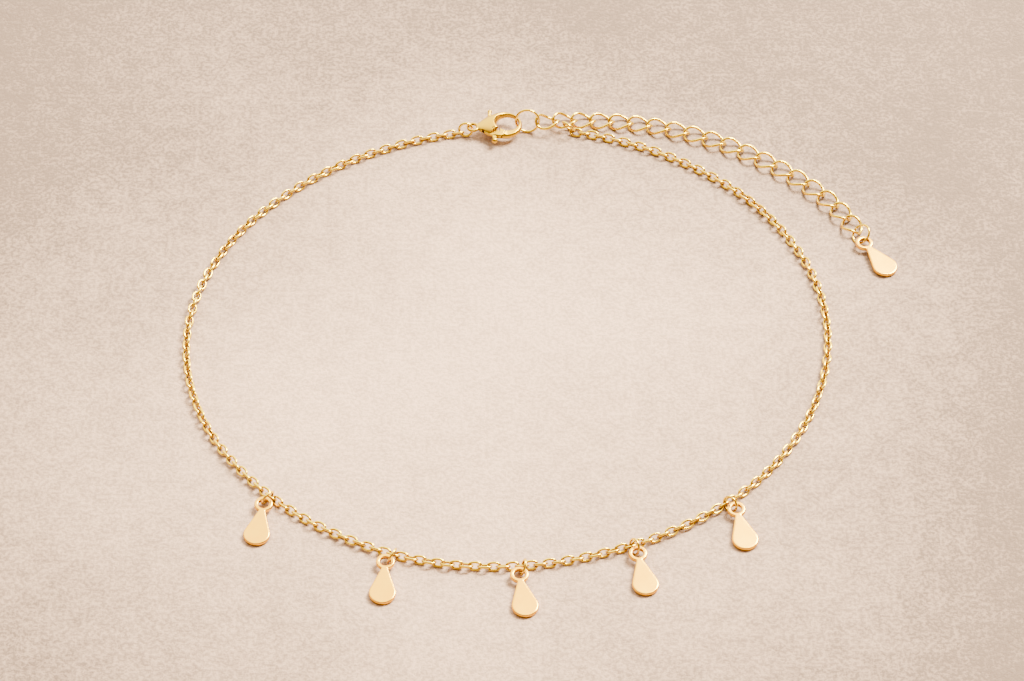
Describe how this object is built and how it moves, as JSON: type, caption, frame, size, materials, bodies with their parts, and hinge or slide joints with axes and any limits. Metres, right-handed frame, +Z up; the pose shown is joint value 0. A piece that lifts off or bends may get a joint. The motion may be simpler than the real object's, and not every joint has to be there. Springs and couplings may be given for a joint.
{
  "type": "charm anklet",
  "caption": "Fine cable chain anklet with drop-shaped charms, a lobster clasp, a curb chain extender and an end drop.",
  "frame": {"origin": "middle of the underside of the box around the whole anklet, on the surface that it lies on", "axes": "+Z up from the surface, +Y from the charms towards the clasp, +X towards the extender's end"},
  "size_m": [0.0918, 0.0894, 0.0032],
  "materials": {
    "chain_gold": "polished gold plate",
    "charm_gold": "polished pale gold plate",
    "clasp_gold": "polished gold plate"
  },
  "bodies": {
    "anklet": {"chain": "chain_gold", "charm_1": "charm_gold", "charm_1_ring": "chain_gold", "charm_2": "charm_gold", "charm_2_ring": "chain_gold", "charm_3": "charm_gold", "charm_3_ring": "chain_gold", "charm_4": "charm_gold", "charm_4_ring": "chain_gold", "charm_5": "charm_gold", "charm_5_ring": "chain_gold", "clasp_body": "clasp_gold", "clasp_pin": "clasp_gold", "clasp_ring": "chain_gold", "drop": "charm_gold", "drop_ring": "chain_gold", "end_ring": "chain_gold", "extender_link_01": "chain_gold", "extender_link_02": "chain_gold", "extender_link_03": "chain_gold", "extender_link_04": "chain_gold", "extender_link_05": "chain_gold", "extender_link_06": "chain_gold", "extender_link_07": "chain_gold", "extender_link_08": "chain_gold", "extender_link_09": "chain_gold", "extender_link_10": "chain_gold", "extender_link_11": "chain_gold", "extender_link_12": "chain_gold", "extender_link_13": "chain_gold", "extender_link_14": "chain_gold", "extender_link_15": "chain_gold", "extender_link_16": "chain_gold", "extender_link_17": "chain_gold", "extender_link_18": "chain_gold", "extender_link_19": "chain_gold", "joining_ring": "chain_gold"},
    "lever": {"clasp_lever": "clasp_gold"}
  },
  "joints": [
    {"name": "lever_pivot", "type": "hinge", "parent": "anklet", "child": "lever", "pos_m": [-0.0065, 0.04057, 0.00118], "axis": [0.0061, -0.0695, 0.9976], "range_deg": [0, 22], "stiffness_Nm_per_rad": 0.0008, "springref_deg": -17.19}
  ]
}
